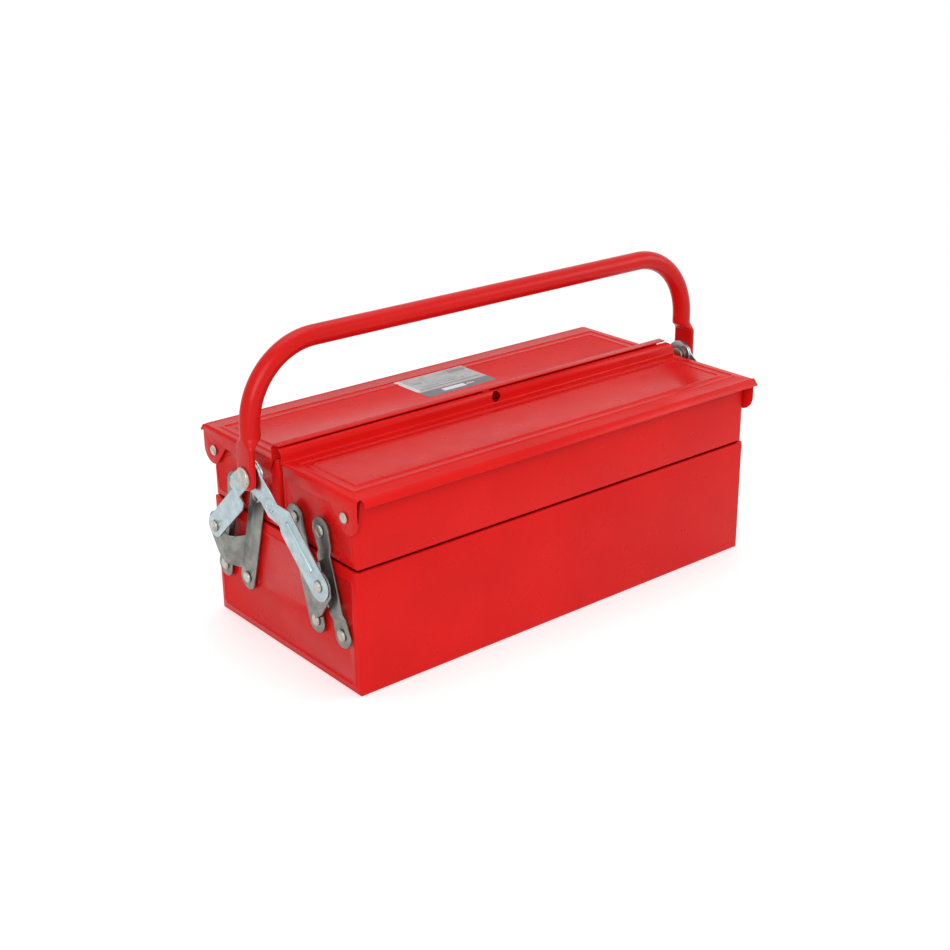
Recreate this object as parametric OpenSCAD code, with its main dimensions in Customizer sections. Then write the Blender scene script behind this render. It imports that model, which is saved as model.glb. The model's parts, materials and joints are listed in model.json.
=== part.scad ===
// Cantilever tool box: a pressed base pan, two lidded trays on parallel links, and one
// bent-tube handle whose spreader arms pull the links in. Millimetres, X along the box,
// front at -Y, Z up. The origin is the middle of the base, on the floor.

/* [Base pan] */

// outside length of the base
base_length = 420; // [380:1:480]
// outside depth of the base
base_depth = 200; // [190:1:240]
// height of the base
base_height = 102; // [98:1:130]
// thickness of the steel sheet
sheet = 1.2; // [0.8:0.1:1.6]
// radius of the base's upright corners
base_corner = 3; // [2:0.5:6]
// radius of the bend round the base's floor
base_bend = 2; // [1.5:0.5:4]
// how far the folded hem runs down inside the rim
hem_drop = 9; // [5:1:14]

/* [Trays] */

// how much shorter each end of a tray is than the base
tray_inset = 1; // [0.5:0.1:2]
// how far a tray's outer wall lies behind the base's wall
tray_setback = 0.5; // [0:0.1:2]
// gap between the two trays when closed
tray_split = 5; // [4:0.5:8]
// gap between a tray's floor and the base's rim
tray_gap = 0.6; // [0.4:0.1:2]
// height of a tray's end walls
tray_height = 57.9; // [50:0.1:70]
// how much lower a tray's outer wall is than its ends
front_drop = 3.3; // [3:0.1:6]
// radius of a tray's upright corners
tray_corner = 5; // [3:0.5:8]
// radius of the bend round a tray's floor
tray_bend = 3.5; // [2:0.5:6]

/* [Lids] */

// gap between a tray's rim and its lid
lid_gap = 0.5; // [0.3:0.1:1.5]
// gap between a tray's end wall and the lid's flange
flange_gap = 1.8; // [1.6:0.1:3]
// depth of the lid's end flanges
flange_depth = 12; // [9:0.5:15]
// radius of the flange's inner corner
flange_corner = 9; // [4:0.5:9]
// radius of the hinge ear
ear_radius = 12.6; // [11:0.1:14]
// lid hinge, in from the base's outer wall
hinge_in = 9.5; // [8:0.1:12]
// lid hinge, below the lid's top
hinge_down = 17.8; // [16:0.1:20]
// how far a lid's outer fold stands out past the base's wall
lid_over = 6.5; // [5:0.1:9]
// radius of the fold between a lid's top and its ends
lid_fold = 3; // [2:0.5:4]
// length of the folded outer lip
lip_length = 7; // [5:0.5:9]
// slope of the folded outer lip, below level
lip_slope = 55; // [40:1:65]
// how much shorter the lip is than the lid at one end
lip_relief = 4.5; // [3:0.5:8]
// rise of the front lid's inner edge above its top
hook_rise = 10.9; // [9:0.1:14]
// depth of the roll at the top of that edge
hook_roll = 4.6; // [3:0.1:4.6]
// height of that roll
hook_curve = 5.5; // [4:0.5:7]
// radius of the fillet at the foot of that edge
hook_fillet = 1.6; // [1:0.1:3]
// how much of the right end is rounded off that edge
hook_trim = 8; // [6:1:10]
// front lid's inner edge, forward of the middle
hook_front = 10; // [9:0.5:12]
// back lid's inner edge, behind the middle
riser_back = 3.5; // [3.5:0.5:6]
// gap between the hook and the lip that covers it
hook_gap = 1; // [0.6:0.1:2]
// radius of the padlock hole in the back lid's edge
lock_radius = 4.2; // [3:0.1:5]
// how much wider the hole in the front lid's edge is, in radius
lock_play = 0.3; // [0.2:0.05:0.6]
// height of the padlock holes above the lid's top
lock_height = 5.6; // [5:0.1:7]
// width of the pressed beads
bead_width = 2.6; // [2:0.1:4]
// height of the pressed beads
bead_height = 0.6; // [0.3:0.1:1]
// distance from the lid's ends to the first bead
bead_edge = 7; // [6:0.5:10]
// distance from the lid's outer fold to the first bead
bead_fold = 14; // [8:0.5:16]
// distance between the lid's two beads
bead_pitch = 8.5; // [5:0.5:10]
// distance from a wall's edge to its bead frame
frame_edge = 5; // [4:0.5:8]

/* [Links] */

// length of every link between its pivots
link_length = 81; // [75:0.5:90]
// lean of the closed links towards the middle
link_lean = 16.5; // [14:0.5:18]
// height of the base pivots
pivot_height = 47; // [42:1:55]
// inner base pivots from the middle
inner_pivot = 49.2; // [46:0.2:55]
// outer base pivots from the middle
outer_pivot = 83.2; // [80:0.2:86]
// thickness of the link steel
link_steel = 1.5; // [1:0.1:2]
// gap between the base's end wall and a link
link_standoff = 2; // [1.8:0.1:3]
// radius of a link's round ends
link_end = 10.5; // [9:0.5:12]
// half the width of the outer link between its ends
link_waist = 8.5; // [7:0.5:10]
// width of the outer link's turned edge
turned_edge = 5; // [3:0.5:6]
// distance across the inner link to the arm's pivot
lobe_across = 34.8; // [32:0.2:38]
// distance up the inner link to the arm's pivot
lobe_up = 32.2; // [28:0.2:36]
// radius of the inner link's lobe
lobe_radius = 12; // [10:0.5:14]
// outward step of the inner link's lobe
lobe_step = 11; // [9:0.5:12]

/* [Spreader arms] */

// half the width of the front arm
front_arm_half = 12; // [10:0.5:13]
// half the width of the back arm
back_arm_half = 9.5; // [8:0.5:12]
// half the width of an arm's neck
arm_neck = 8.8; // [7:0.2:10]
// radius of an arm's round end at the handle
arm_end = 13; // [11:0.5:14]
// distance up the arm to its outward step
arm_step_at = 60; // [50:1:64]
// outward step of the front arm
front_arm_step = 7; // [6:0.1:7.2]
// sideways bow of the front arm's neck
front_arm_bow = 4; // [2:0.5:5]
// sideways bow of the back arm's neck
back_arm_bow = 6; // [2:0.5:7]
// width of the raised rib on the front arm
rib_width = 3.4; // [2:0.1:5]
// length of the raised rib
rib_length = 40; // [20:1:44]
// radius of the stamped ring at the neck
ring_radius = 5.6; // [4:0.1:7]

/* [Handle] */

// height of the handle's pivot
handle_pivot = 155; // [150:1:160]
// outside radius of the tube
tube_radius = 8; // [6:0.5:9]
// wall of the tube
tube_wall = 1.2; // [1:0.1:2]
// legs' centre line from the middle of the box
leg_out = 231.5; // [230:0.5:240]
// height of the grip above the handle's pivot
grip_rise = 98; // [85:1:120]
// bend radius of the tube's centre line
bend_radius = 60; // [40:1:70]
// thickness of the flattened ends
flat_thick = 5.4; // [4:0.1:5.4]
// width of the flattened ends
flat_width = 21.5; // [19:0.5:24]
// flattened length above the pivot
flat_rise = 23; // [18:1:26]
// length of the change from round to flat
flat_change = 9; // [6:1:14]

/* [Rivets] */

// radius of the link rivets' shanks
rivet_radius = 3; // [2:0.1:3.5]
// radius of the link rivets' heads
rivet_head = 4.8; // [4:0.1:6]
// thickness of a rivet head
head_thick = 1.6; // [1:0.1:2.5]
// radius of the lid rivets' shanks
lid_rivet = 2.5; // [2:0.1:3]
// radius of the lid rivets' heads
lid_rivet_head = 4.3; // [3.5:0.1:5]
// radius of the handle rivets' shanks
handle_rivet = 4; // [3:0.1:5]
// radius of the handle rivets' heads
handle_rivet_head = 8.5; // [7:0.1:10]
// thickness of the handle rivets' heads
handle_head_thick = 2.3; // [1.5:0.1:3]
// radial clearance of a turning rivet
pivot_fit = 0.05; // [0.02:0.01:0.1]
// radial clearance at the pivot where the linkage is open
open_fit = 0.5; // [0.4:0.05:0.8]
// gap between faces that slide
slide_gap = 0.3; // [0.2:0.05:0.5]
// radial clearance of a fixed rivet in its sheet
seat_fit = 0.1; // [0.05:0.05:0.3]
// how far a washer stands out past the shank
washer_wide = 2.2; // [1.5:0.1:3]

/* [Hidden] */
base_x = base_length / 2;
base_y = base_depth / 2;
tray_x = base_x - tray_inset;
tray_out = base_y - tray_setback;
tray_in = tray_split / 2;
tray_depth = tray_out - tray_in;
tray_z = base_height + tray_gap;
rim_z = tray_z + tray_height;
lid_top = rim_z + lid_gap + sheet;
lid_x = tray_x + flange_gap + sheet;
hinge_y = base_y - hinge_in;
hinge_z = lid_top - hinge_down;
fold_y = base_y + lid_over;
ear_y = fold_y - ear_radius;
hook_z = lid_top + hook_rise;
lock_z = lid_top + lock_height;
lip_under = hook_z + hook_gap;

tray_pivot_z = pivot_height + link_length * cos(link_lean);
tray_pivot_shift = link_length * sin(link_lean);
link_out = link_standoff + link_steel;
head_at = link_out + slide_gap;
lobe_face = link_standoff + lobe_step;
arm_face = lobe_face + link_steel + slide_gap + 0.2;
arm_y = inner_pivot + lobe_across * cos(link_lean) - lobe_up * sin(link_lean);
arm_z = pivot_height + lobe_across * sin(link_lean) + lobe_up * cos(link_lean);
arm_length = sqrt(pow(arm_y, 2) + pow(handle_pivot - arm_z, 2));
arm_lean = atan2(arm_y, handle_pivot - arm_z);
front_arm_top = arm_face + front_arm_step;
back_arm_step = front_arm_step - link_steel - slide_gap - 0.2;
back_arm_top = arm_face + back_arm_step;
flat_outer = leg_out - base_x + tube_radius - 0.2;
flat_inner = flat_outer - flat_thick;
grip_z = handle_pivot + grip_rise;
washer_radius = rivet_radius + washer_wide;
lid_washer = lid_rivet + washer_wide;

function arc(c, r, a0, a1, n = 8) =
    [for (i = [0:n]) c + r * [cos(a0 + (a1 - a0) * i / n), sin(a0 + (a1 - a0) * i / n)]];

// rectangle from a to b with its corners rounded: r below, s above
function rounded(a, b, r, s) = concat(
    arc([a[0] + r, a[1] + r], r, 180, 270, 5), arc([b[0] - r, a[1] + r], r, 270, 360, 5),
    arc([b[0] - s, b[1] - s], s, 0, 90, 5), arc([a[0] + s, b[1] - s], s, 90, 180, 5));

module ends() { children(); mirror([1, 0, 0]) children(); }
module back() { mirror([0, 1, 0]) children(); }
module halves() { children(); back() children(); }

// carries a flat piece drawn in XY, Z outward, to a pivot y in front of the middle
module at_end(y, z, lean = 0) {
    translate([-base_x, -y, z]) rotate([90, 0, -90]) rotate([0, 0, lean]) children();
}

// a prism from x = -half to half whose section is drawn in Y and Z
module along_x(half) { translate([-half, 0, 0]) rotate([90, 0, 90]) linear_extrude(2 * half) children(); }
// a prism from y = a to b whose section is drawn in X and Z
module along_y(a, b) { translate([0, b, 0]) rotate([90, 0, 0]) linear_extrude(b - a) children(); }

// a solid block with rounded uprights and a bend round its floor
module pan_block(x, y0, y1, z0, z1, corner, bend) {
    intersection() {
        translate([0, 0, z0]) linear_extrude(z1 - z0)
            polygon(rounded([-x, y0], [x, y1], corner, corner));
        along_x(x + 1) polygon(rounded([y0, z0], [y1, z1 + 20], bend, 1));
        along_y(y0 - 1, y1 + 1) polygon(rounded([-x, z0], [x, z1 + 20], bend, 1));
    }
}

module pan(x, y0, y1, z0, z1, corner, bend) {
    difference() {
        pan_block(x, y0, y1, z0, z1, corner, bend);
        pan_block(x - sheet, y0 + sheet, y1 - sheet, z0 + sheet, z1 + 1,
                  corner - sheet, bend - sheet);
    }
}

// raised frame on the left end wall, standing out from x
module wall_frame(x, y0, y1, z0, z1) {
    e = frame_edge;
    w = bead_width;
    translate([-x - bead_height, 0, 0]) rotate([90, 0, 90]) linear_extrude(bead_height + sheet / 2)
        difference() {
            polygon(rounded([y0 + e, z0 + e], [y1 - e, z1 - e], 6, 6));
            polygon(rounded([y0 + e + w, z0 + e + w], [y1 - e - w, z1 - e - w], 4, 4));
        }
}

// a round hole through the left end wall
module wall_hole(y, z, r) { at_end(y, z) translate([0, 0, -10]) cylinder(h = 14, r = r, $fn = 48); }

module base_holes() {
    for (y = [inner_pivot, outer_pivot]) wall_hole(y, pivot_height, rivet_radius + seat_fit);
}

module base_pan() {
    color("red") difference() {
        union() {
            pan(base_x, -base_y, base_y, 0, base_height, base_corner, base_bend);
            difference() {
                pan_block(base_x - sheet / 2, -base_y + sheet / 2, base_y - sheet / 2,
                          base_height - hem_drop, base_height, base_corner - 0.5, 0.5);
                pan_block(base_x - 2 * sheet, -base_y + 2 * sheet, base_y - 2 * sheet,
                          base_height - hem_drop - 1, base_height + 1, base_corner - 1, 0.5);
            }
            ends() wall_frame(base_x, -base_y, base_y, 0, base_height - 2);
        }
        ends() halves() base_holes();
    }
}

// the front tray; the back one is its mirror
module tray() {
    difference() {
        union() {
            pan(tray_x, -tray_out, -tray_in, tray_z, rim_z, tray_corner, tray_bend);
            ends() difference() {
                wall_frame(tray_x, -tray_out, -tray_in, tray_z, rim_z - 4);
                at_end(hinge_y, hinge_z) translate([0, 0, -8])
                    cylinder(h = 20, r = ear_radius + 3, $fn = 48);
            }
        }
        along_x(base_x + 5) polygon([
            [-hinge_y + 2, rim_z + 1], [-hinge_y + 2, rim_z], [-tray_out + sheet + 0.6, rim_z - front_drop],
            [-tray_out - 1, rim_z - front_drop], [-tray_out - 1, rim_z + 1]]);
        ends() {
            for (y = [inner_pivot, outer_pivot])
                wall_hole(y - tray_pivot_shift, tray_pivot_z, rivet_radius + seat_fit);
            wall_hole(hinge_y, hinge_z, lid_rivet + seat_fit);
        }
    }
}

module front_tray() { color("firebrick") tray(); }
module back_tray() { color("firebrick") back() tray(); }

// raised bead frames on a lid's panel, from y0 to y1
module lid_beads(y0, y1) {
    for (i = [0, 1]) {
        e = bead_edge + i * bead_pitch;
        f = bead_fold + i * bead_pitch;
        w = bead_width;
        translate([0, 0, lid_top - sheet / 2]) linear_extrude(sheet / 2 + bead_height)
            difference() {
                polygon(rounded([-lid_x + e, y0 + f], [lid_x - e, y1 - e], 4, 4));
                polygon(rounded([-lid_x + e + w, y0 + f + w], [lid_x - e - w, y1 - e - w], 2, 2));
            }
    }
}

// side view of a lid's folded ends: flange, hinge ear and the fold's own height up to y1
module lid_side(y1) {
    bottom = lid_top - flange_depth;
    c = flange_corner;
    polygon([[-fold_y, lid_top + 1], [-fold_y, lid_top - lid_fold], [y1, lid_top - lid_fold],
             [y1, lid_top + 1]]);
    polygon(concat([[-fold_y, lid_top - 1], [-fold_y, bottom]],
                   arc([y1 - 1 - c, bottom + c], c, 270, 360, 6), [[y1 - 1, lid_top - 1]]));
    polygon(concat([[-fold_y, lid_top - 1]], arc([-ear_y, hinge_z], ear_radius, 180, 305, 12),
                   [[-ear_y + ear_radius + 9, bottom + 1], [-ear_y, lid_top - 1]]));
}

// panel folded down at both ends, outer lip and beads that both lids share, inner edge at y1
module lid_shell(y1) {
    out = lip_length * cos(lip_slope);
    down = lip_length * sin(lip_slope);
    intersection() {
        along_y(-fold_y, y1) difference() {
            polygon(rounded([-lid_x, lid_top - 60], [lid_x, lid_top], 1, lid_fold));
            polygon(rounded([-lid_x + sheet, lid_top - 61], [lid_x - sheet, lid_top - sheet],
                            1, lid_fold - sheet));
        }
        along_x(lid_x + 1) lid_side(y1);
    }
    translate([-lid_x + lip_relief, 0, 0]) rotate([90, 0, 90]) linear_extrude(2 * lid_x - lip_relief)
        polygon([[-fold_y + 0.6, lid_top], [-fold_y + 0.6, lid_top - sheet], [-fold_y, lid_top - sheet - 0.2],
                 [-fold_y - out + 0.5, lid_top - sheet - down + 0.6], [-fold_y - out, lid_top - down],
                 [-fold_y - out - 0.5, lid_top - down + 0.6], [-fold_y - 0.5, lid_top - 0.4]]);
    lid_beads(-fold_y, y1);
}

module lid_pivots() { ends() wall_hole(hinge_y, hinge_z, lid_rivet + pivot_fit); }
module lock_hole(r) {
    translate([0, 20, lock_z]) rotate([90, 0, 0]) cylinder(h = 40, r = r, $fn = 48);
}

module front_lid() {
    y = -hook_front;
    f = hook_fillet;
    r = hook_roll;
    c = hook_curve;
    t = sheet;
    top = hook_z - c;
    color("crimson") difference() {
        union() {
            lid_shell(y);
            along_x(lid_x) polygon(concat(
                [[y + t, lid_top - t], [y - f, lid_top - t]], arc([y - f, lid_top + f], f, 270, 360, 5),
                [for (a = [180:-15:90]) [y + r + r * cos(a), top + c * sin(a)]],
                [for (a = [90:15:180]) [y + r + (r - t) * cos(a), top + (c - t) * sin(a)]]));
        }
        lid_pivots();
        lock_hole(lock_radius + lock_play);
        translate([lid_x - hook_trim, -30, hook_z - hook_trim]) rotate([-90, 0, 0]) difference() {
            translate([0, -hook_trim - 1, 0]) cube([hook_trim + 1, hook_trim + 1, 40]);
            translate([0, 0, -1]) cylinder(h = 42, r = hook_trim, $fn = 48);
        }
    }
}

module back_lid() {
    tip = -hook_front + hook_roll - 0.7;
    reach = lid_x - hook_trim;
    color("crimson") difference() {
        union() {
            rotate([0, 0, 180]) lid_shell(-riser_back);
            translate([-lid_x, 0, 0]) rotate([90, 0, 90]) linear_extrude(lid_x + reach) polygon([
                [riser_back, lid_top - sheet], [riser_back, lip_under - 3], [riser_back - 3, lip_under],
                [tip, lip_under], [tip, lip_under + sheet], [riser_back - 2.5, lip_under + sheet],
                [riser_back + sheet, lip_under - 2.5], [riser_back + sheet, lid_top - sheet]]);
        }
        back() lid_pivots();
        lock_hole(lock_radius);
    }
}

// outline of a link with round ends and a straight waist
function link_outline(len, end, waist) = concat(
    arc([0, 0], end, 180 + 20, 360 - 20, 10), [[waist, end + 3], [waist, len - end - 3]],
    arc([0, len], end, -20, 200, 14), [[-waist, len - end - 3], [-waist, end + 3]]);

module pivot_hole(y, r) { translate([0, y, -5]) cylinder(h = 40, r = r, $fn = 48); }

// a link bent out of flat between its ends, with a turned edge on its inner side
module outer_link() {
    len = link_length;
    raise = 2;
    s = link_standoff;
    difference() {
        union() {
            intersection() {
                linear_extrude(30) polygon(link_outline(len, link_end, link_waist));
                rotate([90, 0, 90]) linear_extrude(40, center = true) polygon([
                    [-20, s], [12, s], [17, s + raise], [len - 19, s + raise], [len - 14, s], [len + 20, s],
                    [len + 20, s + link_steel], [len - 14, s + link_steel],
                    [len - 19, s + raise + link_steel], [17, s + raise + link_steel],
                    [12, s + link_steel], [-20, s + link_steel]]);
            }
            translate([-link_waist, 0, 0]) rotate([90, 0, 90]) linear_extrude(link_steel) polygon([
                [20, s + raise + 0.2], [len - 22, s + raise + 0.2], [len - 26, s + raise + turned_edge],
                [26, s + raise + turned_edge]]);
        }
        pivot_hole(0, rivet_radius + pivot_fit);
        pivot_hole(len, rivet_radius + pivot_fit);
    }
}

// a strip with a lobe stepped outward, where the spreader arm is pinned
module inner_link() {
    len = link_length;
    s = link_standoff;
    t = link_steel;
    u = lobe_across;
    v = lobe_up;
    r = lobe_radius;
    difference() {
        union() {
            translate([0, 0, s]) linear_extrude(t) polygon(link_outline(len, link_end, link_end - 0.4));
            intersection() {
                linear_extrude(40) polygon(concat(
                    [[3, 4], [link_end, 3], [u - 7, v - 23], [u + r - 2, v - 9]],
                    arc([u, v], r, -20, 140, 12), [[u - r + 1, v + 1], [u - r - 8, v + 1], [3, v + 7]]));
                rotate([90, 0, 0]) linear_extrude(200, center = true) polygon([
                    [0, s], [link_end, s], [link_end + 8, s + lobe_step], [u + r + 5, s + lobe_step],
                    [u + r + 5, s + lobe_step + t], [link_end + 7.4, s + lobe_step + t],
                    [link_end - 0.6, s + t], [0, s + t]]);
            }
        }
        pivot_hole(0, rivet_radius + pivot_fit);
        pivot_hole(len, rivet_radius + pivot_fit);
        translate([u, 0, 0]) pivot_hole(v, rivet_radius + pivot_fit);
    }
}

module outer_links() { ends() at_end(outer_pivot, pivot_height, link_lean) outer_link(); }
module inner_links() { ends() at_end(inner_pivot, pivot_height, link_lean) inner_link(); }
module front_outer_links() { color("slategray") outer_links(); }
module front_inner_links() { color("lightslategray") inner_links(); }
module back_outer_links() { color("slategray") back() outer_links(); }
module back_inner_links() { color("lightslategray") back() inner_links(); }

function arm_outline(half, bow) = concat(
    arc([0, 0], half, 180, 360, 12), [[half, arm_step_at - 8], [arm_neck + bow, arm_step_at + 3],
    [arm_neck + bow, arm_step_at + 16]], arc([0, arm_length], arm_end, -30, 215, 16),
    [[bow - arm_neck, arm_step_at + 18], [bow - arm_neck, arm_step_at + 6], [-half, arm_step_at - 8]]);

// a strip stepped outward and bowed at its neck, drawn from its link pivot up to the handle
module arm(half, step, bow) {
    f = arm_face;
    g = arm_face + link_steel;
    a = arm_step_at - 2;
    b = arm_step_at + 6;
    intersection() {
        linear_extrude(60) polygon(arm_outline(half, bow));
        rotate([90, 0, 90]) linear_extrude(60, center = true) polygon([
            [-30, f], [a, f], [b, f + step], [arm_length + 30, f + step],
            [arm_length + 30, g + step], [b, g + step], [a, g], [-30, g]]);
    }
}

// stamped ring on an arm's neck, over a face at z
module arm_ring(bow, z) {
    translate([bow, arm_step_at + 11, z + link_steel - 0.6]) difference() {
        cylinder(h = 1, r = ring_radius, $fn = 32);
        translate([0, 0, -1]) cylinder(h = 3, r = ring_radius - 1.6, $fn = 32);
    }
}

module front_arms() {
    color("lightsteelblue") ends() at_end(arm_y, arm_z, arm_lean) difference() {
        union() {
            arm(front_arm_half, front_arm_step, front_arm_bow);
            translate([2.5, 13, arm_face + link_steel]) {
                rotate([-90, 0, 0]) cylinder(h = rib_length, r = rib_width / 2, $fn = 24);
                sphere(r = rib_width / 2, $fn = 24);
                translate([0, rib_length, 0]) sphere(r = rib_width / 2, $fn = 24);
            }
            arm_ring(front_arm_bow, front_arm_top);
        }
        translate([-30, 0, arm_face - 5]) cube([60, arm_step_at - 2, 5]);
        pivot_hole(0, rivet_radius + pivot_fit);
        pivot_hole(arm_length, handle_rivet + pivot_fit);
    }
}

module back_arms() {
    color("lightsteelblue") back() ends() at_end(arm_y, arm_z, arm_lean) difference() {
        union() {
            arm(back_arm_half, back_arm_step, back_arm_bow);
            arm_ring(back_arm_bow, back_arm_top);
        }
        pivot_hole(0, rivet_radius + pivot_fit);
        pivot_hole(arm_length, handle_rivet + open_fit);
    }
}

// half of the handle's path, swelled to radius r, from the leg's foot to the middle
module half_tube(r, foot) {
    translate([-leg_out, 0, foot]) cylinder(h = grip_z - bend_radius - foot, r = r, $fn = 48);
    translate([-leg_out + bend_radius, 0, grip_z - bend_radius]) rotate([90, 0, 0])
        rotate([0, 0, 90]) rotate_extrude(angle = 90, $fn = 96)
            translate([bend_radius, 0]) circle(r = r, $fn = 48);
    translate([-leg_out + bend_radius, 0, grip_z]) rotate([0, 90, 0])
        cylinder(h = leg_out - bend_radius, r = r, $fn = 48);
}

module handle() {
    loft_z = handle_pivot + flat_rise;
    foot = loft_z + flat_change;
    half = flat_width / 2;
    color("red") difference() {
        union() {
            ends() {
                half_tube(tube_radius, foot);
                hull() {
                    translate([-leg_out, 0, foot]) cylinder(h = 0.5, r = tube_radius + 0.06, $fn = 48);
                    translate([-base_x - flat_outer, -half + 0.5, loft_z])
                        cube([flat_thick, flat_width - 1, 0.2]);
                }
                translate([-base_x - flat_outer, 0, 0]) rotate([90, 0, 90]) linear_extrude(flat_thick)
                    polygon(concat(arc([0, handle_pivot], half, 180, 360, 14),
                                   [[half, loft_z - 1], [half - 0.6, loft_z + 0.1],
                                    [0.6 - half, loft_z + 0.1], [-half, loft_z - 1]]));
            }
        }
        ends() {
            half_tube(tube_radius - tube_wall, foot + 2);
            at_end(0, handle_pivot) translate([0, 0, flat_inner - 3])
                cylinder(h = flat_thick + 6, r = handle_rivet + pivot_fit, $fn = 48);
        }
    }
}

// a rivet along Z: tail head, shank, outer head
module rivet(tail, head, shank_r, tail_r, head_r, thick) {
    translate([0, 0, tail - thick]) cylinder(h = thick, r = tail_r, $fn = 48);
    translate([0, 0, tail - 0.5]) cylinder(h = head - tail + 1, r = shank_r, $fn = 48);
    translate([0, 0, head]) cylinder(h = thick - 0.5, r = head_r, $fn = 48);
    translate([0, 0, head]) cylinder(h = thick, r = head_r - 0.7, $fn = 48);
}

module washer(from, to, hole_r, r) {
    translate([0, 0, from]) difference() {
        cylinder(h = to - from, r = r, $fn = 48);
        translate([0, 0, -1]) cylinder(h = to - from + 2, r = hole_r, $fn = 48);
    }
}

module link_rivet(y, z, wall) {
    at_end(y, z) rivet(-wall - sheet, head_at, rivet_radius, rivet_head - 0.6, rivet_head, head_thick);
}
module link_washer(y, z, wall) {
    at_end(y, z) washer(-wall, link_standoff - slide_gap, rivet_radius + seat_fit, washer_radius);
}
module tray_rivets() {
    ends() for (y = [inner_pivot, outer_pivot])
        link_rivet(y - tray_pivot_shift, tray_pivot_z, tray_inset);
}
module tray_washers() {
    ends() for (y = [inner_pivot, outer_pivot])
        link_washer(y - tray_pivot_shift, tray_pivot_z, tray_inset);
}
module lid_rivets() {
    ends() at_end(hinge_y, hinge_z)
        rivet(-tray_inset - sheet, lid_x - base_x + slide_gap, lid_rivet, lid_rivet + 0.9,
              lid_rivet_head, head_thick);
}
module lid_washers() {
    ends() at_end(hinge_y, hinge_z)
        washer(-tray_inset, lid_x - base_x - sheet - slide_gap, lid_rivet + seat_fit, lid_washer);
}
module arm_rivets() {
    ends() at_end(arm_y, arm_z)
        rivet(lobe_face - slide_gap, arm_face + link_steel, rivet_radius, rivet_head - 0.6,
              rivet_head, head_thick);
}

module base_rivets() {
    color("gainsboro") ends() halves() for (y = [inner_pivot, outer_pivot])
        link_rivet(y, pivot_height, 0);
}
module base_washers() {
    color("gray") ends() halves() for (y = [inner_pivot, outer_pivot])
        link_washer(y, pivot_height, 0);
}
module front_tray_rivets() { color("gainsboro") tray_rivets(); }
module front_tray_washers() { color("gray") tray_washers(); }
module back_tray_rivets() { color("gainsboro") back() tray_rivets(); }
module back_tray_washers() { color("gray") back() tray_washers(); }
module front_lid_rivets() { color("gainsboro") lid_rivets(); }
module front_lid_washers() { color("gray") lid_washers(); }
module back_lid_rivets() { color("gainsboro") back() lid_rivets(); }
module back_lid_washers() { color("gray") back() lid_washers(); }
module front_arm_rivets() { color("gainsboro") arm_rivets(); }
module back_arm_rivets() { color("gainsboro") back() arm_rivets(); }

module handle_rivets() {
    color("gainsboro") ends() at_end(0, handle_pivot) union() {
        inner = back_arm_top - slide_gap - 1.2;
        translate([0, 0, inner - 1.8]) cylinder(h = 1.8, r = handle_rivet_head - 2, $fn = 48);
        translate([0, 0, inner - 0.5])
            cylinder(h = flat_outer + slide_gap - inner + 1, r = handle_rivet, $fn = 48);
        translate([0, 0, flat_outer + slide_gap])
            cylinder(h = handle_head_thick - 0.7, r = handle_rivet_head, $fn = 48);
        translate([0, 0, flat_outer + slide_gap])
            cylinder(h = handle_head_thick, r = handle_rivet_head - 0.9, $fn = 48);
    }
}
module handle_washers() {
    color("gray") ends() at_end(0, handle_pivot)
        washer(back_arm_top - slide_gap - 1.2, back_arm_top - slide_gap,
               handle_rivet + seat_fit, handle_rivet_head + 0.5);
}

base_pan();
front_tray();
back_tray();
front_lid();
back_lid();
front_outer_links();
front_inner_links();
back_outer_links();
back_inner_links();
front_arms();
back_arms();
handle();
handle_rivets();
handle_washers();
base_rivets();
base_washers();
front_tray_rivets();
front_tray_washers();
back_tray_rivets();
back_tray_washers();
front_lid_rivets();
front_lid_washers();
back_lid_rivets();
back_lid_washers();
front_arm_rivets();
back_arm_rivets();
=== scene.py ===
import bpy
import json
import math
from mathutils import Matrix, Vector
from mathutils.bvhtree import BVHTree

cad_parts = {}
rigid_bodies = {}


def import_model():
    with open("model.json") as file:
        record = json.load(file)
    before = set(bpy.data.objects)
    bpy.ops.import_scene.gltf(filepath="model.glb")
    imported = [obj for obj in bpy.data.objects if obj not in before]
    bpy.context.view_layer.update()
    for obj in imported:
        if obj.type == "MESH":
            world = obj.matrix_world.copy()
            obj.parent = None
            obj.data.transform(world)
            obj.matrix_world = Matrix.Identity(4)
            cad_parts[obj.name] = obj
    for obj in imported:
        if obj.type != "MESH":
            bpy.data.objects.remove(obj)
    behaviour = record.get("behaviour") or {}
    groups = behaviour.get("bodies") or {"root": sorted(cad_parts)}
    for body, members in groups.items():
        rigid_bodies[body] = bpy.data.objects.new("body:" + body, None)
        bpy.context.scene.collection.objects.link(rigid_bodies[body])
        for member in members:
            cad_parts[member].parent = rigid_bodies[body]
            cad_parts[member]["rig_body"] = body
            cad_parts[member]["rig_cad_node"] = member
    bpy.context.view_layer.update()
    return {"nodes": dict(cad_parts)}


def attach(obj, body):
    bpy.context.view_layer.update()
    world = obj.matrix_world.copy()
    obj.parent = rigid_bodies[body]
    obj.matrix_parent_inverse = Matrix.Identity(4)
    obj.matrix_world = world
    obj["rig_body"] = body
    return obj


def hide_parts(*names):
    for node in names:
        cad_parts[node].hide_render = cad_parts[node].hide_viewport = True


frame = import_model()
print("frame loaded:", len(frame["nodes"]), "nodes")

mm = 0.001


def hexColor(text):  # sRGB hex to the linear colour that the shaders work in
    parts = [int(text[i:i + 2], 16) / 255 for i in (0, 2, 4)]
    return tuple(c / 12.92 if c <= 0.04045 else ((c + 0.055) / 1.055) ** 2.4 for c in parts) + (1,)


# --- tools for shaping pieces ---

def soloSelect(obj):
    bpy.ops.object.select_all(action="DESELECT")
    obj.select_set(True)
    bpy.context.view_layer.objects.active = obj


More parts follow.
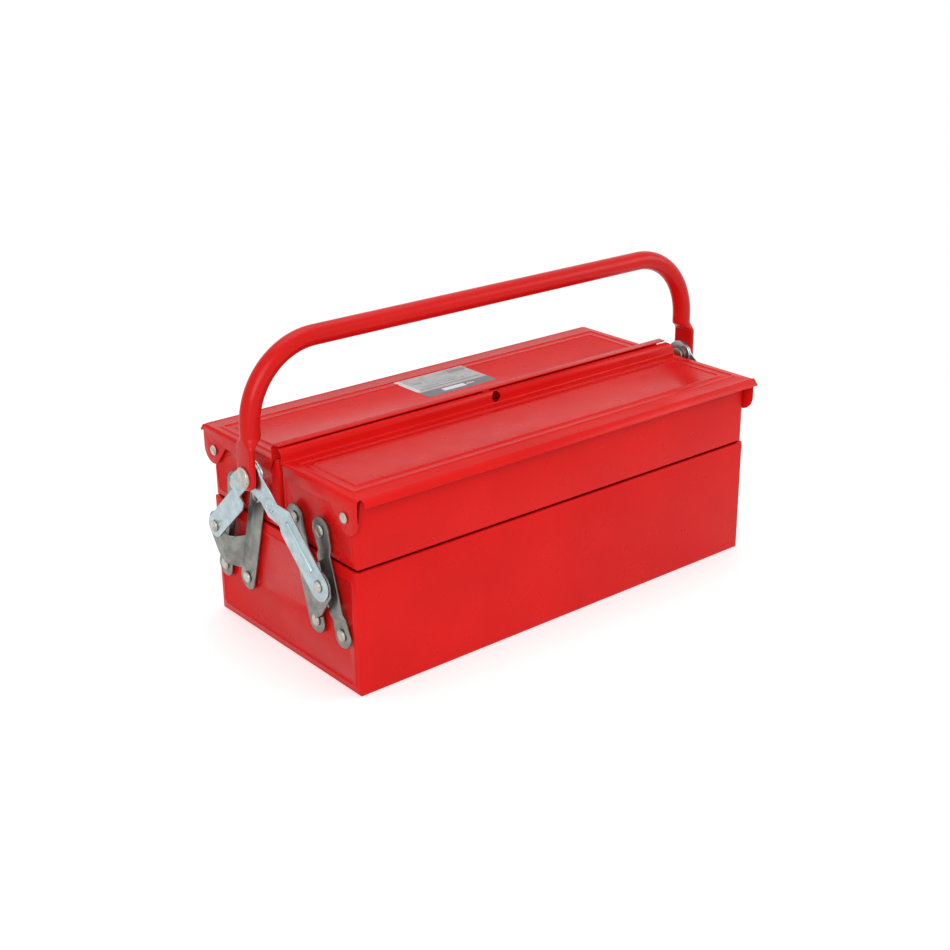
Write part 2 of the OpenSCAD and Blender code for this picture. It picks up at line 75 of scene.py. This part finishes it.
def pickVertices(obj, test):
    # goes into edit mode with just the vertices that pass the test
    bpy.ops.object.mode_set(mode="OBJECT")
    for part in (obj.data.polygons, obj.data.edges):
        part.foreach_set("select", [False] * len(part))
    for v in obj.data.vertices:
        v.select = test(v.co)
    bpy.ops.object.mode_set(mode="EDIT")
    bpy.ops.mesh.select_mode(type="VERT")


def applyModifier(obj, kind, **settings):
    soloSelect(obj)
    modifier = obj.modifiers.new(kind.lower(), kind)
    for name, value in settings.items():
        setattr(modifier, name, value)
    bpy.ops.object.modifier_apply(modifier=modifier.name)


def applyPlace(obj):
    soloSelect(obj)
    bpy.ops.object.transform_apply(location=True, rotation=True, scale=True)


def smooth(obj, degrees=35):
    soloSelect(obj)
    bpy.ops.object.shade_smooth_by_angle(angle=math.radians(degrees))


def finishPiece(obj, name, body, material, replaced=()):
    obj.name = name
    obj.data.name = name
    obj.data.materials.clear()
    obj.data.materials.append(material)
    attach(obj, body)
    if replaced:
        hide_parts(*replaced)
    return obj


# --- camera, floor and lights ---

camera = {
    "place": (-0.7816, -0.9324, 0.5820),
    "azimuth": -39.397,    # degrees, 0 looks at the front, negative from the left
    "elevation": 21.825,
    "roll": -0.528,
    "lens": 58.135,        # mm on a 36 mm sensor
}


def addCamera():
    azimuth, elevation, roll = (math.radians(camera[k]) for k in ("azimuth", "elevation", "roll"))
    back = Vector((math.sin(azimuth) * math.cos(elevation), -math.cos(azimuth) * math.cos(elevation),
                   math.sin(elevation)))
    right = Vector((0, 0, 1)).cross(back).normalized()
    up = back.cross(right)
    across = right * math.cos(roll) + up * math.sin(roll)
    upright = up * math.cos(roll) - right * math.sin(roll)
    bpy.ops.object.camera_add()
    cam = bpy.context.object
    cam.data.sensor_width = 36
    cam.data.lens = camera["lens"]
    cam.data.clip_start = 0.01
    turn = Matrix((across, upright, back)).transposed().to_4x4()
    cam.matrix_world = Matrix.Translation(camera["place"]) @ turn
    bpy.context.scene.camera = cam


addCamera()
bpy.context.scene.view_settings.view_transform = "Standard"
print("camera placed")


def addNode(tree, kind, settings=None, sockets=None):
    # one node, with its own settings, and each socket given a value or the output it is linked from
    node = tree.nodes.new(kind)
    for name, value in (settings or {}).items():
        setattr(node, name, value)
    for name, value in (sockets or {}).items():
        if isinstance(value, bpy.types.NodeSocket):
            tree.links.new(value, node.inputs[name])
        else:
            node.inputs[name].default_value = value
    return node


def newMaterial(name):
    material = bpy.data.materials.new(name)
    material.use_nodes = True
    material.node_tree.nodes.clear()
    return material, material.node_tree


studio = {
    "world": 0.42,                         # fill from all round
    "floor": "F0F0F0",
    "floorGlow": 0.36,                     # what the camera sees on top of the lit floor
    "white": (0.36, 0.8),                  # m from the middle, over which the floor turns plain white
    "aim": (0, 0, 0.12),                   # where the lamps point, the middle of the box
    "key": {"place": (-1.6, -1.6, 1.22), "size": 1.5, "power": 32},
    "top": {"place": (0.2, 0.3, 2.2), "size": 2.0, "power": 17},
    "side": {"place": (1.9, -1.2, 1.0), "size": 1.2, "power": 11},
}


def seenDirectly(tree):
    # 1 for what the camera sees, also by way of metal or glass, and 0 for the light that falls on things
    path = addNode(tree, "ShaderNodeLightPath")
    seen = addNode(tree, "ShaderNodeMath", {"operation": "MAXIMUM"},
                   {0: path.outputs["Is Camera Ray"], 1: path.outputs["Is Glossy Ray"]})
    return addNode(tree, "ShaderNodeMath", {"operation": "MAXIMUM"},
                   {0: seen.outputs[0], 1: path.outputs["Is Transmission Ray"]}).outputs[0]


def addWorld():
    world = bpy.data.worlds.new("studioWorld")
    world.use_nodes = True
    tree = world.node_tree
    tree.nodes.clear()
    strength = addNode(tree, "ShaderNodeMapRange", None,
                       {"Value": seenDirectly(tree), "To Min": studio["world"], "To Max": 1.0})
    sky = addNode(tree, "ShaderNodeBackground", None,
                  {"Color": (1, 1, 1, 1), "Strength": strength.outputs["Result"]})
    addNode(tree, "ShaderNodeOutputWorld", None, {"Surface": sky.outputs[0]})
    bpy.context.scene.world = world


def addFloor():
    # matt near the box, where its shadow falls, and plain white further out
    bpy.ops.mesh.primitive_plane_add(size=80, location=(0, 0, 0))
    floor = bpy.context.object
    floor.name = "studioFloor"
    material, tree = newMaterial("paleFloor")
    seen = seenDirectly(tree)
    amount = addNode(tree, "ShaderNodeMath", {"operation": "MULTIPLY"}, {0: seen, 1: studio["floorGlow"]})
    matt = addNode(tree, "ShaderNodeBsdfDiffuse", None, {"Color": hexColor(studio["floor"])})
    glow = addNode(tree, "ShaderNodeEmission", None, {"Strength": amount.outputs[0]})
    near = addNode(tree, "ShaderNodeAddShader", None, {0: matt.outputs[0], 1: glow.outputs[0]})
    white = addNode(tree, "ShaderNodeEmission", None, {"Strength": 1.0})
    place = addNode(tree, "ShaderNodeTexCoord").outputs["Object"]
    away = addNode(tree, "ShaderNodeVectorMath", {"operation": "LENGTH"}, {0: place})
    start, end = studio["white"]
    fade = addNode(tree, "ShaderNodeMapRange", {"interpolation_type": "SMOOTHSTEP"},
                   {"Value": away.outputs["Value"], "From Min": start, "From Max": end})
    share = addNode(tree, "ShaderNodeMath", {"operation": "MULTIPLY"}, {0: fade.outputs["Result"], 1: seen})
    both = addNode(tree, "ShaderNodeMixShader", None,
                   {0: share.outputs[0], 1: near.outputs[0], 2: white.outputs[0]})
    addNode(tree, "ShaderNodeOutputMaterial", None, {"Surface": both.outputs[0]})
    floor.data.materials.append(material)


def addLamp(name):
    lamp = studio[name]
    bpy.ops.object.light_add(type="AREA", location=lamp["place"])
    light = bpy.context.object
    light.name = name + "Light"
    light.data.shape = "DISK"
    light.data.size = lamp["size"]
    light.data.energy = lamp["power"]
    aim = Vector(studio["aim"]) - Vector(lamp["place"])
    light.rotation_euler = aim.to_track_quat("-Z", "Y").to_euler()


addWorld()
addFloor()
for name in ("key", "top", "side"):
    addLamp(name)
print("studio lit")


# --- finishes ---

paint = {
    "red": "DA1512",
    "deepRed": "D01210",        # the coat is a touch thinner there
    "rubbed": "C41513",
    "orangePeel": 1.6,          # mm between the crests of the sprayed coat, drawn coarse enough to show
    "sheetWave": 90,            # mm, the slow waves of thin pressed sheet
    "handling": 26,             # mm across the dull marks that hands leave
    "roughness": (0.26, 0.36),
    "gloss": 0.14,              # low, since the sheets show broad soft light and no crisp reflection
}


def stovedEnamel(name, red, deepRed, peelDepth=0.012, waveDepth=0.18, gloss=paint["gloss"]):
    # enamel sprayed on pressed steel and baked: semi-gloss, a faint orange peel, slow waves of the sheet
    # below it, and dull marks from handling; the depths are in mm
    material, tree = newMaterial(name)
    place = addNode(tree, "ShaderNodeTexCoord").outputs["Object"]
    waves = addNode(tree, "ShaderNodeTexNoise", None,
                    {"Vector": place, "Scale": 1 / (paint["sheetWave"] * mm), "Detail": 2.0})
    peel = addNode(tree, "ShaderNodeTexNoise", None,
                   {"Vector": place, "Scale": 1 / (paint["orangePeel"] * mm), "Detail": 1.5})
    marks = addNode(tree, "ShaderNodeTexNoise", None,
                    {"Vector": place, "Scale": 1 / (paint["handling"] * mm),
                     "Detail": 5.0, "Roughness": 0.62})
    tone = addNode(tree, "ShaderNodeMapRange", None,
                   {"Value": waves.outputs["Fac"], "From Min": 0.35, "From Max": 0.65})
    coat = addNode(tree, "ShaderNodeMix", {"data_type": "RGBA"},
                   {0: tone.outputs["Result"], 6: hexColor(red), 7: hexColor(deepRed)})
    rub = addNode(tree, "ShaderNodeMapRange", None,
                  {"Value": marks.outputs["Fac"], "From Min": 0.5, "From Max": 0.8, "To Max": 0.3})
    color = addNode(tree, "ShaderNodeMix", {"data_type": "RGBA"},
                    {0: rub.outputs["Result"], 6: coat.outputs[2], 7: hexColor(paint["rubbed"])})
    low, high = paint["roughness"]
    rough = addNode(tree, "ShaderNodeMapRange", None,
                    {"Value": marks.outputs["Fac"], "From Min": 0.35, "From Max": 0.7,
                     "To Min": low, "To Max": high})
    slow = addNode(tree, "ShaderNodeBump", None,
                   {"Height": waves.outputs["Fac"], "Distance": waveDepth * mm, "Strength": 1.0})
    fine = addNode(tree, "ShaderNodeBump", None,
                   {"Height": peel.outputs["Fac"], "Distance": peelDepth * mm, "Strength": 1.0,
                    "Normal": slow.outputs["Normal"]})
    shader = addNode(tree, "ShaderNodeBsdfPrincipled", None,
                     {"Base Color": color.outputs[2], "Roughness": rough.outputs["Result"],
                      "Specular IOR Level": gloss, "Normal": fine.outputs["Normal"]})
    addNode(tree, "ShaderNodeOutputMaterial", None, {"Surface": shader.outputs[0]})
    return material


plate = {
    "blotch": 9,            # mm across the cloudy patches of the plating
    "stain": 3.2,           # mm across the dull stains
    "stainShare": 0.6,
    "lineDepth": 0.02,      # mm, drawn deeper than real ones so that they show
    "lineStretch": 0.08,    # lines run up the strip, so the pattern is drawn out along Z
}


def platedSteel(name, pale, dark, stain, roughness, grain=0.5):
    # plating on stamped steel: milky grey with soft blotches, faint lines from the rolled strip
    # grain mm apart, and duller stains where hands and rivets rub
    material, tree = newMaterial(name)
    place = addNode(tree, "ShaderNodeTexCoord").outputs["Object"]
    stretched = addNode(tree, "ShaderNodeMapping", None,
                        {"Vector": place, "Scale": (1.0, 1.0, plate["lineStretch"])})
    blotch = addNode(tree, "ShaderNodeTexNoise", None,
                     {"Vector": place, "Scale": 1 / (plate["blotch"] * mm),
                      "Detail": 4.0, "Roughness": 0.55})
    lines = addNode(tree, "ShaderNodeTexNoise", None,
                    {"Vector": stretched.outputs["Vector"], "Scale": 1 / (grain * mm), "Detail": 2.0})
    spots = addNode(tree, "ShaderNodeTexNoise", None,
                    {"Vector": place, "Scale": 1 / (plate["stain"] * mm), "Detail": 5.0, "Roughness": 0.7})
    tone = addNode(tree, "ShaderNodeMapRange", None,
                   {"Value": blotch.outputs["Fac"], "From Min": 0.35, "From Max": 0.65})
    plating = addNode(tree, "ShaderNodeMix", {"data_type": "RGBA"},
                      {0: tone.outputs["Result"], 6: hexColor(pale), 7: hexColor(dark)})
    dirty = addNode(tree, "ShaderNodeMapRange", None,
                    {"Value": spots.outputs["Fac"], "From Min": 0.58, "From Max": 0.74,
                     "To Max": plate["stainShare"]})
    color = addNode(tree, "ShaderNodeMix", {"data_type": "RGBA"},
                    {0: dirty.outputs["Result"], 6: plating.outputs[2], 7: hexColor(stain)})
    rough = addNode(tree, "ShaderNodeMapRange", None,
                    {"Value": blotch.outputs["Fac"], "From Min": 0.3, "From Max": 0.7,
                     "To Min": roughness - 0.07, "To Max": roughness + 0.09})
    bump = addNode(tree, "ShaderNodeBump", None,
                   {"Height": lines.outputs["Fac"], "Distance": plate["lineDepth"] * mm, "Strength": 0.8})
    shader = addNode(tree, "ShaderNodeBsdfPrincipled", None,
                     {"Base Color": color.outputs[2], "Metallic": 1.0,
                      "Roughness": rough.outputs["Result"], "Normal": bump.outputs["Normal"]})
    addNode(tree, "ShaderNodeOutputMaterial", None, {"Surface": shader.outputs[0]})
    return material


bodyEnamel = stovedEnamel("bodyEnamel", paint["red"], paint["deepRed"])
lidEnamel = stovedEnamel("lidEnamel", "D81815", "D01412", gloss=0.12)
handleEnamel = stovedEnamel("handleEnamel", "CE1412", "C61210", waveDepth=0.05, gloss=0.17)
dullZinc = platedSteel("dullZinc", "94958F", "787A76", "555754", 0.42)
brightZinc = platedSteel("brightZinc", "B6C8CC", "A5B6BB", "8B989C", 0.3)
rivetNickel = platedSteel("rivetNickel", "C6C3BA", "A9A59B", "6E6A62", 0.36, 0.8)
washerZinc = platedSteel("washerZinc", "8E8C86", "6F6C66", "4A4743", 0.45)
print("finishes mixed")


# --- the steel pieces, with their sharp edges broken as a press and a barrel finish leave them ---

edges = {
    "merge": 0.002,     # mm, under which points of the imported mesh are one
    "flat": 0.6,        # degrees, under which its faces are one
    "sharp": 32,        # degrees, over which an edge is broken
    "segments": 2,
    "smooth": 40,       # degrees, under which faces shade as one surface
}


def brokenEdges(node, name, material, width):
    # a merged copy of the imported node, its edges rounded to the given width in mm
    source = frame["nodes"][node]
    piece = source.copy()
    piece.data = source.data.copy()
    bpy.context.scene.collection.objects.link(piece)
    piece.parent = None
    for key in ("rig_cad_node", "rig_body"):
        if key in piece:
            del piece[key]
    soloSelect(piece)
    bpy.ops.object.mode_set(mode="EDIT")
    bpy.ops.mesh.select_all(action="SELECT")
    bpy.ops.mesh.remove_doubles(threshold=edges["merge"] * mm)
    bpy.ops.mesh.customdata_custom_splitnormals_clear()
    bpy.ops.mesh.dissolve_limited(angle_limit=math.radians(edges["flat"]))
    bpy.ops.object.mode_set(mode="OBJECT")
    applyModifier(piece, "BEVEL", width=width * mm, segments=edges["segments"], limit_method="ANGLE",
                  angle_limit=math.radians(edges["sharp"]), use_clamp_overlap=False, harden_normals=False,
                  miter_outer="MITER_ARC")
    # where short edges meet, a corner of the bevel can stray from the sheet, so it is put back on it
    surface = BVHTree.FromPolygons([v.co for v in source.data.vertices],
                                   [list(f.vertices) for f in source.data.polygons])
    for v in piece.data.vertices:
        nearest, _, _, gap = surface.find_nearest(v.co)
        if gap > 0.5 * width * mm:
            v.co = nearest
    smooth(piece, edges["smooth"])
    return finishPiece(piece, name, source["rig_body"], material, [node])


steelPieces = {    # node: name, finish, slot and the width of its broken edges in mm
    "base_pan": ("basePan", bodyEnamel, "body_paint", 0.35),
    "front_tray": ("frontTray", bodyEnamel, "tray_paint", 0.35),
    "back_tray": ("backTray", bodyEnamel, "tray_paint", 0.35),
    "front_lid": ("frontLid", lidEnamel, "lid_paint", 0.35),
    "back_lid": ("backLid", lidEnamel, "lid_paint", 0.35),
    "front_outer_links": ("frontOuterLinks", dullZinc, "link_steel", 0.3),
    "front_inner_links": ("frontInnerLinks", dullZinc, "link_steel", 0.3),
    "back_outer_links": ("backOuterLinks", dullZinc, "link_steel", 0.3),
    "back_inner_links": ("backInnerLinks", dullZinc, "link_steel", 0.3),
    "front_arms": ("frontArms", brightZinc, "arm_zinc", 0.3),
    "back_arms": ("backArms", brightZinc, "arm_zinc", 0.3),
    "handle_rivets": ("handleRivets", rivetNickel, "rivet_steel", 0.4),
    "handle_washers": ("handleWashers", washerZinc, "washer_steel", 0.2),
    "base_rivets": ("baseRivets", rivetNickel, "rivet_steel", 0.35),
    "base_washers": ("baseWashers", washerZinc, "washer_steel", 0.2),
    "front_tray_rivets": ("frontTrayRivets", rivetNickel, "rivet_steel", 0.35),
    "front_tray_washers": ("frontTrayWashers", washerZinc, "washer_steel", 0.2),
    "back_tray_rivets": ("backTrayRivets", rivetNickel, "rivet_steel", 0.35),
    "back_tray_washers": ("backTrayWashers", washerZinc, "washer_steel", 0.2),
    "front_lid_rivets": ("frontLidRivets", rivetNickel, "rivet_steel", 0.35),
    "front_lid_washers": ("frontLidWashers", washerZinc, "washer_steel", 0.2),
    "back_lid_rivets": ("backLidRivets", rivetNickel, "rivet_steel", 0.35),
    "back_lid_washers": ("backLidWashers", washerZinc, "washer_steel", 0.2),
    "front_arm_rivets": ("frontArmRivets", rivetNickel, "rivet_steel", 0.35),
    "back_arm_rivets": ("backArmRivets", rivetNickel, "rivet_steel", 0.35),
}
made = {}
for node, (name, material, slot, width) in steelPieces.items():
    made[node] = brokenEdges(node, name, material, width)
    print(name, len(made[node].data.polygons), "faces")


# --- the handle: one ring carried round the bend, its foot pressed flat and rounded ---

handle = {
    "legOut": 231.5,       # mm from the middle to the leg's axis
    "radius": 8.0,
    "bendRadius": 60.0,
    "grip": 253.0,         # height of the grip's axis
    "tubeEnd": 187.0,      # round above this height
    "flatStart": 178.0,    # flat below this one
    "flatOut": 236.6,      # mm from the middle to the flat's middle plane
    "flatHalf": 10.75,
    "flatThick": 5.4,
    "pivot": 155.0,
    "hole": 4.05,
    "sides": 48,
    "bendSteps": 24,
    "pressSteps": 14,      # rings through the change from round to flat
    "endAngles": (10, 20, 30, 40, 50, 57, 63, 69, 75, 80, 84),    # degrees below the pivot
}


def smoothStep(t):
    t = min(max(t, 0.0), 1.0)
    return t * t * (3 - 2 * t)


def pressedFoot(co):
    # where a point of the straight tube goes when the foot is pressed flat and its end cut round
    x, y, z = (v / mm for v in co)
    squeeze = smoothStep((handle["tubeEnd"] - z) / (handle["tubeEnd"] - handle["flatStart"]))
    edge = handle["flatThick"] / 2
    shrink = 1 + (edge / handle["radius"] - 1) * squeeze
    across = (x + handle["legOut"]) * shrink
    along = 0.0
    if abs(y) > 0.01:
        along = y * shrink + math.copysign((handle["flatHalf"] - edge) * squeeze, y)
    below = handle["pivot"] - z
    if below > 0:
        along *= math.sqrt(max(1 - (below / handle["flatHalf"]) ** 2, 0))
        over = max(below - handle["flatHalf"] + edge, 0) / edge
        across *= math.sqrt(max(1 - over ** 2, 0))
    axis = -handle["legOut"] - (handle["flatOut"] - handle["legOut"]) * squeeze
    return Vector((axis + across, along, z)) * mm


def addHandle():
    # half of it from one ring, and the other half mirrored
    bend = handle["grip"] - handle["bendRadius"]
    reach = handle["legOut"] - handle["bendRadius"]
    bpy.ops.object.select_all(action="DESELECT")
    bpy.ops.mesh.primitive_circle_add(vertices=handle["sides"], radius=handle["radius"] * mm,
                                      location=(-handle["legOut"] * mm, 0, handle["tubeEnd"] * mm))
    tube = bpy.context.object
    applyPlace(tube)
    bpy.ops.object.mode_set(mode="EDIT")
    bpy.ops.mesh.select_all(action="SELECT")
    bpy.ops.mesh.extrude_region_move(
        TRANSFORM_OT_translate={"value": (0, 0, (bend - handle["tubeEnd"]) * mm)})
    bpy.ops.mesh.spin(steps=handle["bendSteps"], angle=math.radians(-90),
                      center=(-reach * mm, 0, bend * mm), axis=(0, 1, 0))
    bpy.ops.mesh.extrude_region_move(TRANSFORM_OT_translate={"value": (reach * mm, 0, 0)})

    # down the leg: rings through the change of form, then the flat and its round end
    change = handle["tubeEnd"] - handle["flatStart"]
    steps = handle["pressSteps"]
    levels = [handle["tubeEnd"] - change * k / steps for k in range(1, steps + 1)]
    levels += [(handle["flatStart"] + handle["pivot"]) / 2, handle["pivot"]]
    levels += [handle["pivot"] - handle["flatHalf"] * math.sin(math.radians(a)) for a in handle["endAngles"]]
    pickVertices(tube, lambda co: co.z < (handle["tubeEnd"] + 0.1) * mm)
    height = handle["tubeEnd"]
    for level in levels:
        bpy.ops.mesh.extrude_region_move(TRANSFORM_OT_translate={"value": (0, 0, (level - height) * mm)})
        height = level
    bpy.ops.mesh.edge_face_add()
    bpy.ops.object.mode_set(mode="OBJECT")
    for v in tube.data.vertices:
        if v.co.z < (handle["tubeEnd"] - 0.1) * mm:
            v.co = pressedFoot(v.co)
    applyModifier(tube, "MIRROR", use_axis=(True, False, False), merge_threshold=0.01 * mm)
    bpy.ops.object.mode_set(mode="EDIT")
    bpy.ops.mesh.select_all(action="SELECT")
    bpy.ops.mesh.normals_make_consistent(inside=False)
    bpy.ops.object.mode_set(mode="OBJECT")

    bpy.ops.object.select_all(action="DESELECT")
    bpy.ops.mesh.primitive_cylinder_add(vertices=handle["sides"], radius=handle["hole"] * mm,
                                        depth=2.2 * handle["flatOut"] * mm,
                                        location=(0, 0, handle["pivot"] * mm),
                                        rotation=(0, math.radians(90), 0))
    drill = bpy.context.object
    applyModifier(tube, "BOOLEAN", operation="DIFFERENCE", solver="EXACT", object=drill)
    bpy.data.objects.remove(drill)
    smooth(tube, edges["smooth"])
    body = frame["nodes"]["handle"]["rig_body"]
    return finishPiece(tube, "handleTube", body, handleEnamel, ["handle"])


made["handle"] = addHandle()
print("handleTube", len(made["handle"].data.polygons), "faces")


# --- the label on the back lid: a silver-grey printed foil with plain bands and bars only ---

label = {
    "x": (-33.4, 41.5), "y": (38.5, 89.0), "thick": 0.08,    # mm
    "foil": "B4B5B5",
    "foilShade": "A2A3A4",
    "paintedSheenAndWear": 8,              # mm across the soft patches: painted sheen in the colour, duller wear in the roughness
    "crinkle": 2.2,         # mm between the fine creases of the foil
    "creaseDepth": 0.01,
    "roughness": 0.34,
    "grid": (24, 100),
    "drop": 200,            # mm, the height from which the sheet is laid on the lid
    "lift": 0.03,           # mm of glue
}
labelPrint = (    # x from and to, y from and to, in mm, and the ink
    (-33.4, 41.5, 38.5, 52.3, "66676B"),
    (-12.0, 12.0, 43.4, 49.6, "DCDCDE"),
    (13.5, 22.0, 45.2, 47.8, "D9AEB2"),
    (-33.4, 41.5, 53.2, 54.3, "CF8C91"),
    (-31.0, 38.0, 56.8, 59.0, "7B7D7E"),
    (-22.0, 24.0, 61.8, 63.8, "8A8C8D"),
    (-10.0, 20.0, 66.4, 67.8, "8E9091"),
    (-33.4, -28.5, 55.5, 89.0, "D0D1D1"),
    (-24.0, -14.0, 72.0, 76.0, "8F9192"),
    (22.0, 38.0, 72.6, 74.2, "C79A9D"),
    (20.0, 39.0, 78.0, 87.0, "8C8E90"),
)


def printedFoil():
    # printed metal foil under a satin varnish: the soft patches of light it shows are painted into its
    # colour as painted sheen, with fine creases
    material, tree = newMaterial("printedFoilLabel")
    place = addNode(tree, "ShaderNodeTexCoord").outputs["Object"]
    axes = addNode(tree, "ShaderNodeSeparateXYZ", None, {0: place})
    paintedSheenAndWear = addNode(tree, "ShaderNodeTexNoise", None,
                   {"Vector": place, "Scale": 1 / (label["paintedSheenAndWear"] * mm), "Detail": 4.0, "Roughness": 0.6})
    # painted sheen: the foil colour turns from foil to foilShade in soft patches, standing in for the light
    # the foil reflects
    tone = addNode(tree, "ShaderNodeMapRange", None,
                   {"Value": paintedSheenAndWear.outputs["Fac"], "From Min": 0.35, "From Max": 0.65})
    color = addNode(tree, "ShaderNodeMix", {"data_type": "RGBA"},
                    {0: tone.outputs["Result"], 6: hexColor(label["foil"]), 7: hexColor(label["foilShade"])})
    for x0, x1, y0, y1, ink in labelPrint:
        inside = [addNode(tree, "ShaderNodeMath", {"operation": "COMPARE"},
                          {0: axes.outputs[axis], 1: (a + b) / 2 * mm, 2: (b - a) / 2 * mm})
                  for axis, a, b in (("X", x0, x1), ("Y", y0, y1))]
        both = addNode(tree, "ShaderNodeMath", {"operation": "MULTIPLY"},
                       {0: inside[0].outputs[0], 1: inside[1].outputs[0]})
        color = addNode(tree, "ShaderNodeMix", {"data_type": "RGBA"},
                        {0: both.outputs[0], 6: color.outputs[2], 7: hexColor(ink)})
    crinkle = addNode(tree, "ShaderNodeTexNoise", None,
                      {"Vector": place, "Scale": 1 / (label["crinkle"] * mm), "Detail": 2.0})
    bump = addNode(tree, "ShaderNodeBump", None,
                   {"Height": crinkle.outputs["Fac"], "Distance": label["creaseDepth"] * mm,
                    "Strength": 0.7})
    rough = addNode(tree, "ShaderNodeMapRange", None,
                    {"Value": paintedSheenAndWear.outputs["Fac"], "From Min": 0.3, "From Max": 0.7,
                     "To Min": label["roughness"] - 0.05, "To Max": label["roughness"] + 0.08})
    shader = addNode(tree, "ShaderNodeBsdfPrincipled", None,
                     {"Base Color": color.outputs[2], "Roughness": rough.outputs["Result"],
                      "Specular IOR Level": 0.25, "Normal": bump.outputs["Normal"]})
    addNode(tree, "ShaderNodeOutputMaterial", None, {"Surface": shader.outputs[0]})
    return material


def addLabel():
    # a fine sheet laid on the lid, so that it follows the pressed bead under its back edge
    (x0, x1), (y0, y1) = label["x"], label["y"]
    bpy.ops.object.select_all(action="DESELECT")
    across, along = label["grid"]
    bpy.ops.mesh.primitive_grid_add(x_subdivisions=across, y_subdivisions=along, size=1,
                                    location=((x0 + x1) / 2 * mm, (y0 + y1) / 2 * mm, label["drop"] * mm))
    sheet = bpy.context.object
    sheet.scale = ((x1 - x0) * mm, (y1 - y0) * mm, 1)
    applyPlace(sheet)
    applyModifier(sheet, "SHRINKWRAP", target=made["back_lid"], wrap_method="PROJECT", use_project_z=True,
                  use_negative_direction=True, use_positive_direction=False, offset=label["lift"] * mm)
    applyModifier(sheet, "SOLIDIFY", thickness=label["thick"] * mm, offset=1)
    smooth(sheet, 30)
    body = frame["nodes"]["back_lid"]["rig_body"]
    return finishPiece(sheet, "lidLabel", body, printedFoil())


made["label"] = addLabel()
print("lidLabel", len(made["label"].data.polygons), "faces")
